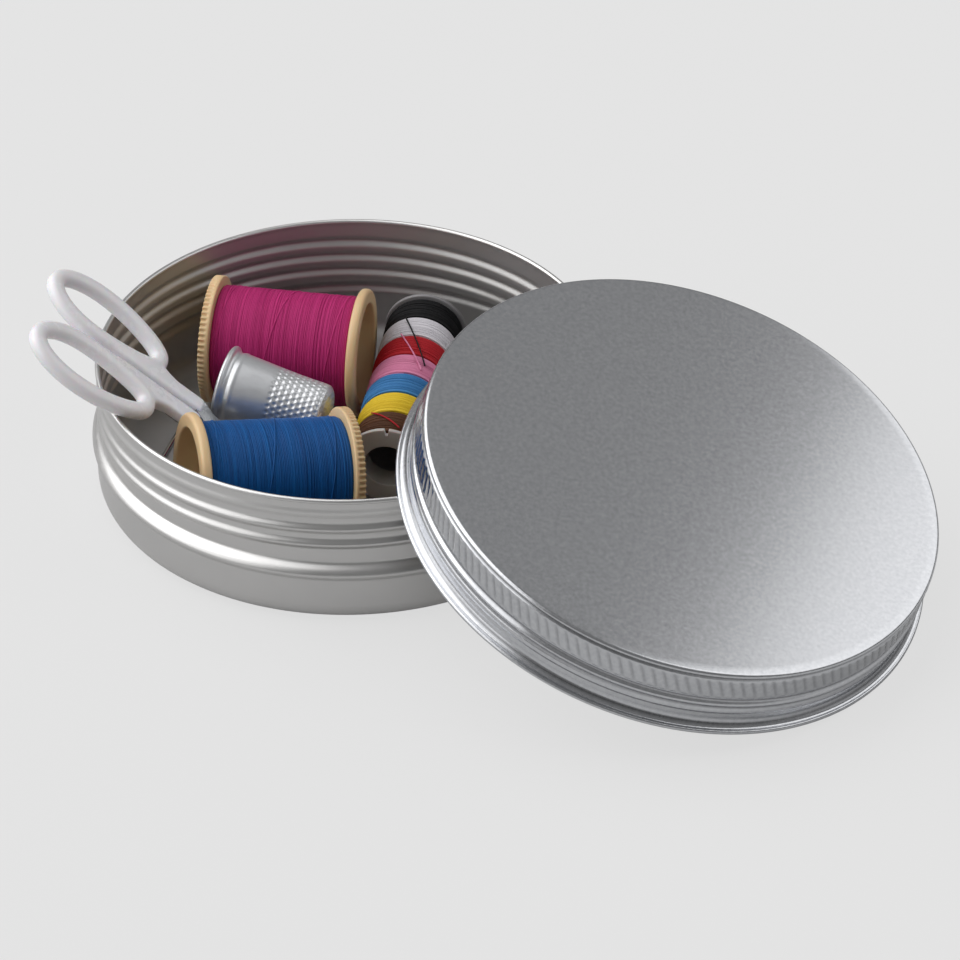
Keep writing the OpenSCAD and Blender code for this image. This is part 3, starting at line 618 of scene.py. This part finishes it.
def turnsGrid(winding, radius, halfLength, seed):
    # one unbroken winding: the angle runs on, the height climbs at a nearly steady rate and the radius
    # wavers a little, then the thread runs back over the layer in a few steep turns
    rng = np.random.default_rng(seed)
    strand, turns, returns = winding["strand"], winding["turns"], winding["returns"]
    n = int(turns * winding["rings"])
    s = np.linspace(0, 1, n)
    knots = rng.normal(0, 1, int(turns * 2) + 4)
    waver = np.interp(s * (len(knots) - 1), np.arange(len(knots)), knots)
    angle = 2 * pi * turns * s
    height = (2 * s - 1) * (halfLength - strand) + winding["swing"] * waver * strand
    sideWaver = windingShape["radiusWaver"] * strand * np.roll(waver, n // 7)
    radial = radius + sideWaver - winding["drop"] * np.abs(2 * s - 1) ** 6
    q = np.linspace(0, 1, int(returns * winding["rings"]))[1:]
    angle = np.concatenate([angle, angle[-1] + 2 * pi * returns * q])
    height = np.concatenate([height, height[-1] * (1 - 2 * (3 * q ** 2 - 2 * q ** 3))])
    lift = np.sin(pi * np.clip(q * 8, 0, 0.5)) * np.sin(pi * np.clip((1 - q) * 8, 0, 0.5))
    radial = np.concatenate([radial, radial[-1] + windingShape["returnLift"] * strand * lift])
    height = np.clip(height, -halfLength + strand / 2, halfLength - strand / 2)
    out = np.stack([np.cos(angle), np.sin(angle), np.zeros_like(angle)], -1)
    up = np.array([0.0, 0.0, 1.0])
    f = np.arange(winding["sides"]) * 2 * pi / winding["sides"]
    tall = strand / 2 * windingShape["tallness"] * np.sin(f)
    grid = (radial[:, None, None] + strand / 2 * np.cos(f)[None, :, None]) * out[:, None, :]
    grid = grid + (height[:, None] + tall[None, :])[..., None] * up
    lengthwise = angle[:, None] / (2 * pi) * windingShape["mapRate"]
    return grid, np.stack(np.broadcast_arrays(lengthwise, (f / (2 * pi))[None, :]), -1)


def coreGrid(inner, outer, halfLength):
    # the plain sleeve of thread under the outer layer
    corners = [[inner, -halfLength], [outer, -halfLength], [outer, halfLength], [inner, halfLength]]
    return revolved(roundedCorners(corners, 0.1, 3), 96)


def uvForCore(grid):
    # row number along the profile and share of the way round
    rows, cols = grid.shape[:2]
    return np.stack(np.broadcast_arrays(np.arange(rows)[:, None] * 0.7, np.arange(cols)[None, :] / cols), -1)


def makeSpool(colour, threadLook):
    place = spoolPlaces[colour]

    def laid(grid):
        return laidAlong(grid, place["at"], place["turn"], place["rise"])

    half = spool["length"] / 2 - spool["flangeThick"] - spool["seat"]
    r = spool["threadRadius"] - spoolWinding["strand"] * spoolWinding["sink"]
    barrel = meshFromGrid("barrel", laid(spoolBarrelGrid()), roundRows=True)
    cap = meshFromGrid("cap", laid(spoolCapGrid()), roundRows=True)
    core = laid(coreGrid(spool["barrelRadius"] + spool["seat"], r - spool["seat"], half))
    coreMesh = meshFromGrid("core", core, roundRows=True, uv=uvForCore(core))
    grid, uv = turnsGrid(spoolWinding, r, half, place["seed"])
    turns = meshFromGrid("turns", laid(grid), uv=uv, capEnds=True)
    asPiece(colour + "SpoolBarrel", [barrel], spoolPlastic, colour, (colour + "_spool",))
    asPiece(colour + "SpoolCap", [cap], spoolPlastic, colour, (colour + "_spool_cap",))
    asPiece(colour + "ThreadCore", [coreMesh], threadLook, colour, (colour + "_thread",))
    asPiece(colour + "ThreadTurns", [turns], threadLook, colour,
            (colour + "_outer_turns",))


makeSpool("magenta", magentaThread)
makeSpool("blue", blueThread)
print("stage: spools made")


thimble = {"length": 21.5, "rimRadius": 8.3, "mouthRadius": 7.8, "tipRadius": 5.9, "wall": 0.6,
           "at": (-24.45, 2.2, 18.25), "turn": -16.0, "drop": 8.0, "dome": 1.6, "domeSquare": 0.62,
           "domeRise": 1.1, "wallRows": 64, "columns": 480, "dimpleStart": 9.5, "dimplePitch": 1.15,
           "dimplesRound": 34, "dimpleRadius": 0.46, "dimpleDepth": 0.14, "tipDimplePitch": 1.25}


def thimbleProfile():
    # rolled rim, groove, tapering wall and domed end outside, then back along the inside
    roll = (thimble["rimRadius"] - thimble["mouthRadius"] + thimble["wall"]) / 2
    length, dome = thimble["length"], thimble["dome"]
    c = np.radians(np.linspace(-180, 60, 12))
    rim = np.stack([thimble["rimRadius"] - roll + roll * np.cos(c), roll + roll * np.sin(c)], 1)
    z = np.linspace(2 * roll + 0.15, length - dome - 0.9, thimble["wallRows"])
    wall = np.stack([eased(z, -6, length + 6, thimble["mouthRadius"], thimble["tipRadius"] + 0.1), z], 1)
    wall[:, 0] -= swell(z, 1.9, 1.3, 0.22) - swell(z, 2.9, 0.9, 0.1)
    a = np.radians(np.linspace(8, 90, 22))
    nose = np.stack([thimble["tipRadius"] * np.cos(a) ** thimble["domeSquare"],
                     length - dome + dome * np.sin(a) ** thimble["domeRise"]], 1)
    outside = np.concatenate([rim, wall, nose])
    inside = np.concatenate([nose[::4] - [0, thimble["wall"]], wall[::-6] - [thimble["wall"], 0]])
    inside[:, 0] = np.maximum(inside[:, 0], 0)
    return outside, np.concatenate([[[0, length - thimble["wall"]]], inside[1:]])


def thimbleSkin():
    # dimples in staggered rows sink along the normal into the wall from dimpleStart on and into the domed end
    outside, inside = thimbleProfile()
    columns = thimble["columns"]
    a = np.linspace(0, 2 * pi, columns, endpoint=False)
    step = np.linalg.norm(np.diff(outside, axis=0), axis=1)
    s = np.concatenate([[0], np.cumsum(step)])
    fine = np.concatenate([np.arange(0, 12, 0.25), np.arange(12, s[-1], 0.155), s[-1:]])
    r = np.interp(fine, s, outside[:, 0])
    z = np.interp(fine, s, outside[:, 1])
    slopeR, slopeZ = np.gradient(r, fine), np.gradient(z, fine)
    size = np.hypot(slopeR, slopeZ)
    normalR, normalZ = slopeZ / size, -slopeR / size
    along = fine - s[12] - thimble["dimpleStart"]
    row = np.round(along / thimble["dimplePitch"])
    count = np.maximum(1, np.where(z < thimble["length"] - 1.4, thimble["dimplesRound"],
                                   np.round(2 * pi * r / thimble["tipDimplePitch"])))
    phase = a[None, :] * count[:, None] / (2 * pi) + 0.5 * np.mod(row, 2)[:, None]
    across = (np.mod(phase + 0.5, 1) - 0.5) * 2 * pi * r[:, None] / count[:, None]
    far = (along - row * thimble["dimplePitch"])[:, None]
    reach = np.sqrt(across ** 2 + far ** 2) / thimble["dimpleRadius"]
    sink = thimble["dimpleDepth"] * np.clip(1 - reach ** 2, 0, 1) ** 0.8 * (row >= 0)[:, None]
    rr = r[:, None] - normalR[:, None] * sink
    zz = z[:, None] - normalZ[:, None] * sink
    outer = np.stack([rr * np.cos(a), rr * np.sin(a), zz], -1)
    inner = revolved(inside, columns)
    return np.concatenate([outer, inner])


thimbleGrid = laidAlong(thimbleSkin(), thimble["at"], thimble["turn"], -thimble["drop"])
thimbleMesh = meshFromGrid("thimbleBody", thimbleGrid, roundRows=True)
asPiece("thimbleBody", [thimbleMesh], thimbleMetal, "thimble", ("thimble",), weld=True)
print("stage: thimble made")


scissors = {"loopLength": 28.5, "loopShort": 3.4, "loopWidth": 12.4, "loopThick": 3.5, "loopHeight": 3.1,
            "loopGap": 0.35, "loopNarrow": 0.28, "loopFlat": 0.5, "loopLean": 0.9, "loopSquare": 0.85,
            "shankLength": 9.5, "at": (-45.4, -8.7, 33.7), "drop": 40.2, "turn": -4.0, "roll": 4.5,
            "reach": 19.4, "voxel": 0.00022, "softenSteps": 9}
# the shank's sections, counted from the loop's end: place, lift of the near side, far side, half height
shankRows = ((-12.0, 1.2, 2.4, 0.8), (-11.0, 0.3, 3.4, 1.2), (-8.0, 0.0, 3.9, 1.4), (-5.0, 0.0, 4.3, 1.45),
             (-2.5, 0.0, 5.3, 1.45), (0.5, 0.0, 5.6, 1.45), (2.5, 0.0, 4.7, 1.4), (4.5, 0.0, 4.15, 1.35))
shankTip = ((-0.6, 0.0, 4.1, 1.35), (0.0, 0.25, 3.85, 1.1))  # the same, counted from the shank's end
scissorsSpin = turnAbout("z", scissors["turn"]) @ turnAbout("y", scissors["drop"])
scissorsSpin = scissorsSpin @ turnAbout("x", scissors["roll"])


def onScissors(grid):
    # from the scissors' own frame, X to the points and Y across, to the tin's frame
    return carried(grid - [scissors["reach"], 0, 0], scissorsSpin, scissors["at"])


def fingerLoopGrid():
    # an oval line, flattened towards the middle of the scissors, carries a rounded section:
    # x = -cos a, y = sin a, where the inner half takes y = -|sin a|^k with k falling from 1 to 1/2
    a = np.linspace(0, 2 * pi, 120, endpoint=False)
    x, y = -np.cos(a), np.sin(a)
    t, w, short = scissors["loopThick"], scissors["loopWidth"], scissors["loopShort"]
    narrow = 1 - scissors["loopNarrow"] * ((x + 1) / 2) ** 2
    inner = 1 - scissors["loopFlat"] * np.clip((x + 1) / 1.3, 0, 1)
    y = np.where(y < 0, -np.abs(y) ** inner, y)
    lineX = t / 2 + short + (scissors["loopLength"] - short) * (1 + x) / 2
    lineY = scissors["loopGap"] + t / 2 + w / 2 * (1 + y * narrow) - scissors["loopLean"] * (x + 1) / 2
    line = np.stack([lineX, lineY], -1)
    d = np.roll(line, -1, 0) - np.roll(line, 1, 0)
    side = np.stack([-d[:, 1], d[:, 0]], -1) / np.linalg.norm(d, axis=1)[:, None]
    f = np.linspace(0, 2 * pi, 20, endpoint=False)
    lean = np.sign(np.cos(f)) * np.abs(np.cos(f)) ** scissors["loopSquare"] * t / 2
    rise = np.sign(np.sin(f)) * np.abs(np.sin(f)) ** scissors["loopSquare"] * scissors["loopHeight"] / 2
    xy = line[:, None, :] + lean[None, :, None] * side[:, None, :]
    return np.concatenate([xy, np.broadcast_to(rise[None, :, None], xy.shape[:2] + (1,))], -1)


def shankGrid():
    # a rounded box section, |x|^5 + |y|^5 = 1, widest at the loop's end and narrower at the blade
    end = scissors["loopThick"] / 2 + scissors["loopLength"]
    tip = end + scissors["loopThick"] / 2 + scissors["shankLength"]
    rows = np.concatenate([np.array(shankRows) + [end, 0, 0, 0], np.array(shankTip) + [tip, 0, 0, 0]])
    x, low, high, tall = rows.T
    low = scissors["loopGap"] + low
    f = np.linspace(0, 2 * pi, 32, endpoint=False)
    c, s = np.cos(f), np.sin(f)
    boxy = (np.abs(c) ** 5 + np.abs(s) ** 5) ** -0.2
    y = (low + high)[:, None] / 2 + (high - low)[:, None] / 2 * (boxy * c)[None, :]
    z = tall[:, None] * (boxy * s)[None, :]
    return np.stack([np.repeat(x[:, None], len(f), 1), y, z], -1)


def makeHandle(name, flip, body, node):
    # loop and shank are fused by a fine remesh and smoothed where they meet
    meshes = [meshFromGrid("loop", fingerLoopGrid(), roundRows=True),
              meshFromGrid("shank", shankGrid(), capEnds=True)]
    piece = asPiece(name, meshes, handlePlastic, body, (node,))
    remesh = piece.modifiers.new("fuse", "REMESH")
    remesh.mode = "VOXEL"
    remesh.voxel_size = scissors["voxel"]
    soften = piece.modifiers.new("soften", "SMOOTH")
    soften.factor = 0.6
    soften.iterations = scissors["softenSteps"]
    bpy.context.view_layer.update()
    made = bpy.data.meshes.new_from_object(piece.evaluated_get(bpy.context.evaluated_depsgraph_get()))
    piece.modifiers.clear()
    co = np.empty(len(made.vertices) * 3)
    made.vertices.foreach_get("co", co)
    co = co.reshape(-1, 3) * toMillimetres
    if flip:
        co = co * [1, -1, -1]
    made.vertices.foreach_set("co", (onScissors(co) * toMetres).ravel())
    made.polygons.foreach_set("use_smooth", [True] * len(made.polygons))
    made.materials.clear()
    made.materials.append(handlePlastic)
    made.update()
    piece.data = made


makeHandle("upperHandle", False, "scissors_upper", "scissors_upper_handle")
makeHandle("lowerHandle", True, "scissors", "scissors_lower_handle")
for node in ("scissors_upper_blade", "scissors_lower_blade", "scissors_rivet"):
    refinish(node, bladeSteel)
print("stage: scissors made")


reel = {"length": 48.5, "rimRadius": 8.3, "threadRadius": 8.0, "tubeRadius": 6.4, "tubeWall": 0.9,
        "rimThick": 0.9, "at": (14.3, 37.0, 8.75), "turn": 81.6, "gap": 0.05, "spigotGap": 0.12,
        "spigotWall": 0.9, "spigotLength": 4.0, "notches": 6, "notchDepth": 1.1, "notchHalf": 0.05,
        "notchFrom": 7.4, "underInset": 0.25, "underSink": 0.4}
reelWinding = {"strand": 0.27, "turns": 27, "rings": 40, "sides": 5, "swing": 0.25, "drop": 0.45,
               "returns": 2.5}
bandOrder = ["black", "white", "red", "pink", "blue", "yellow", "brown"]
bandWidth = (reel["length"] - 2 * reel["rimThick"] - (len(bandOrder) + 1) * reel["gap"]) / len(bandOrder)


def onReel(grid):
    # the reel's far end, where z is its length, lies at the place given
    return laidAlong(grid - [0, 0, reel["length"]], reel["at"], reel["turn"], 0.0)


def reelTubeGrid():
    # a tube with a rim at its far end
    t, n, rim = reel["tubeRadius"], reel["length"], reel["rimThick"]
    bore, low, wide = t - reel["tubeWall"], rim + reel["gap"], reel["rimRadius"]
    corners = [[bore, low], [t, low], [t, n - rim], [wide, n - rim], [wide, n], [bore, n]]
    return revolved(denser(roundedCorners(corners, [0.1, 0.1, 0.1, 0.3, 0.3, 0.3], 5), 4.0), 96)


def capNotches(r, z, a):
    # narrow notches in the edge of the near end
    turn = np.mod(a * reel["notches"] / (2 * pi) - 0.5, 1)
    cut = np.clip(1 - np.abs(turn - 0.5) / reel["notchHalf"], 0, 1)
    return np.where(r > reel["notchFrom"], r - reel["notchDepth"] * np.minimum(cut * 3, 1), r)


def reelCapGrid():
    # a flange with the spigot that is pushed into the tube
    t, wide = reel["rimThick"], reel["rimRadius"]
    spigot = reel["tubeRadius"] - reel["tubeWall"] - reel["spigotGap"]
    hole, deep = spigot - reel["spigotWall"], t + reel["spigotLength"]
    corners = [[hole, 0], [wide, 0], [wide, t], [spigot, t], [spigot, deep], [hole, deep]]
    loop = roundedCorners(corners, [0.2, 0.25, 0.25, 0.1, 0.15, 0.15], 4)
    return revolved(denser(loop, 1.6), 360, capNotches)


tubeMesh = meshFromGrid("tube", onReel(reelTubeGrid()), roundRows=True)
capMesh = meshFromGrid("cap", onReel(reelCapGrid()), roundRows=True)
asPiece("reelTube", [tubeMesh], reelPlastic, "reel", ("reel_tube",))
asPiece("reelCap", [capMesh], capPlastic, "reel", ("reel_end_cap",))
bandRadius = reel["threadRadius"] - reelWinding["strand"] / 2 - reel["gap"]
for k, colour in enumerate(bandOrder):
    middle = reel["length"] - reel["rimThick"] - reel["gap"] - (k + 0.5) * bandWidth - k * reel["gap"]
    under = coreGrid(reel["tubeRadius"] + reel["gap"], bandRadius - reelWinding["strand"] * reel["underSink"],
                     bandWidth / 2 - reel["underInset"])
    grid, uv = turnsGrid(reelWinding, bandRadius, bandWidth / 2, 20 + k)
    meshes = [meshFromGrid("under", onReel(under + [0, 0, middle]), roundRows=True, uv=uvForCore(under)),
              meshFromGrid("band", onReel(grid + [0, 0, middle]), uv=uv, capEnds=True)]
    asPiece("reelBand_" + colour, meshes, bandMaterials[colour], "reel",
            ("reel_%s_thread" % colour,))

# from band and to band, counted from the far end, then from angle, to angle and colour
looseEnds = {"darkEnd": (1.0, 3.5, 158, 206, "black"), "pinkEnd": (2.0, 3.8, 160, 203, "pink"),
             "redEnd": (6.1, 6.9, 150, 196, "red")}
looseEnd = {"strand": 0.3, "lift": 0.12, "steps": 40, "sides": 8, "mapLength": 6}


def looseEndGrid(z0, z1, a0, a1):
    # a loose end lies over the bands: height and angle change steadily, and it arches up a little
    strand = looseEnd["strand"]
    s = np.linspace(0, 1, looseEnd["steps"])
    angle, z = np.radians(a0 + (a1 - a0) * s), z0 + (z1 - z0) * s
    r = reel["threadRadius"] + strand / 2 + looseEnd["lift"] * np.sin(pi * s)
    path = np.stack([r * np.cos(angle), r * np.sin(angle), z], -1)
    d = np.gradient(path, axis=0)
    d /= np.linalg.norm(d, axis=1)[:, None]
    out = np.stack([np.cos(angle), np.sin(angle), np.zeros_like(angle)], -1)
    side = np.cross(d, out)
    f = np.linspace(0, 2 * pi, looseEnd["sides"], endpoint=False)
    ring = np.cos(f)[None, :, None] * out[:, None, :] + np.sin(f)[None, :, None] * side[:, None, :]
    grid = path[:, None, :] + strand / 2 * ring
    lengthwise = s[:, None] * looseEnd["mapLength"]
    return grid, np.stack(np.broadcast_arrays(lengthwise, (f / (2 * pi))[None, :]), -1)


reelTop = reel["length"] - reel["rimThick"]
for name, (fromBand, toBand, a0, a1, colour) in looseEnds.items():
    grid, uv = looseEndGrid(reelTop - fromBand * bandWidth, reelTop - toBand * bandWidth, a0, a1)
    endMesh = meshFromGrid(name, onReel(grid), uv=uv, capEnds=True)
    asPiece(name, [endMesh], bandMaterials[colour], "reel", ("reel_thread_ends",))
refinish("sewing_needle", needleSteel)
print("stage: reel and needle made")


studio = {"background": (0.79, 0.79, 0.79), "floorSize": 6.0, "floorDrop": 0.0002, "floorGrey": 0.5,
          "litGrey": 0.74, "shadowShare": 0.15, "glossShare": 0.2, "worldStrength": 0.19}
# metres and watts; a softbox with a turn faces straight down, the others face their aim
softboxes = {
    "overheadSoftbox": {"at": (-0.72, 0.28, 1.12), "aim": (0, 0, 0), "size": (1.8, 1.8), "power": 15.0},
    "leftSoftbox": {"at": (-0.9, -0.15, 0.52), "aim": (0, 0, 0.01), "size": (1.6, 1.0), "power": 5.8},
    "backSoftbox": {"at": (0.25, 0.62, 0.7), "aim": (0.05, 0, 0), "size": (0.5, 0.7), "power": 0.1},
    "rightSoftbox": {"at": (0.607, 0.17, 0.4), "turn": -20, "size": (0.6, 0.9), "power": 1.75}}
viewer = {"at": (0.0251034, -0.6662392, 0.4741717), "pitch": 54.4251, "lens": 156.91, "sensor": 36.0}


def makeFloor():
    # the camera sees a pale ground that keeps part of its shadow, a reflection sees a share of it,
    # and every other ray meets a grey floor
    bpy.ops.mesh.primitive_plane_add(size=studio["floorSize"], location=(0, 0, -studio["floorDrop"]))
    floor = bpy.context.object
    floor.name = "floor"
    material = bpy.data.materials.new("paleFloor")
    material.use_nodes = True
    nodes, link = material.node_tree.nodes, material.node_tree.links.new
    nodes.clear()
    out = nodes.new("ShaderNodeOutputMaterial")
    path = nodes.new("ShaderNodeLightPath")
    grey = nodes.new("ShaderNodeBsdfDiffuse")
    grey.inputs["Color"].default_value = (studio["floorGrey"],) * 3 + (1,)
    lit = nodes.new("ShaderNodeBsdfDiffuse")
    lit.inputs["Color"].default_value = (studio["litGrey"],) * 3 + (1,)
    glow = nodes.new("ShaderNodeEmission")
    glow.inputs["Color"].default_value = (*studio["background"], 1)
    share = nodes.new("ShaderNodeMixShader")
    share.inputs["Fac"].default_value = 1 - studio["shadowShare"]
    choose = nodes.new("ShaderNodeMixShader")
    seen = nodes.new("ShaderNodeMath")
    seen.operation = "MULTIPLY_ADD"
    seen.inputs[1].default_value = studio["glossShare"]
    link(lit.outputs[0], share.inputs[1])
    link(glow.outputs[0], share.inputs[2])
    link(path.outputs["Is Glossy Ray"], seen.inputs[0])
    link(path.outputs["Is Camera Ray"], seen.inputs[2])
    link(seen.outputs[0], choose.inputs["Fac"])
    link(grey.outputs[0], choose.inputs[1])
    link(share.outputs[0], choose.inputs[2])
    link(choose.outputs[0], out.inputs["Surface"])
    floor.data.materials.append(material)


def addSoftbox(name, box):
    data = bpy.data.lights.new(name, "AREA")
    data.shape = "RECTANGLE"
    data.size, data.size_y = box["size"]
    data.energy = box["power"]
    lamp = bpy.data.objects.new(name, data)
    bpy.context.scene.collection.objects.link(lamp)
    lamp.location = box["at"]
    if "turn" in box:
        lamp.rotation_euler = (0, 0, radians(box["turn"]))
    else:
        lamp.rotation_euler = (Vector(box["aim"]) - Vector(box["at"])).to_track_quat("-Z", "Y").to_euler()


def makeStudio():
    scene = bpy.context.scene
    world = bpy.data.worlds.new("studio")
    world.use_nodes = True
    world.node_tree.nodes["Background"].inputs["Color"].default_value = (1, 1, 1, 1)
    world.node_tree.nodes["Background"].inputs["Strength"].default_value = studio["worldStrength"]
    scene.world = world
    for name, box in softboxes.items():
        addSoftbox(name, box)
    scene.view_settings.view_transform = "Standard"
    data = bpy.data.cameras.new("viewer")
    data.lens = viewer["lens"]
    data.sensor_width = viewer["sensor"]
    camera = bpy.data.objects.new("viewer", data)
    camera.location = viewer["at"]
    camera.rotation_euler = (radians(viewer["pitch"]), 0, 0)
    scene.collection.objects.link(camera)
    scene.camera = camera


makeFloor()
makeStudio()
print("stage: floor, light and camera made")

bpy.context.view_layer.update()
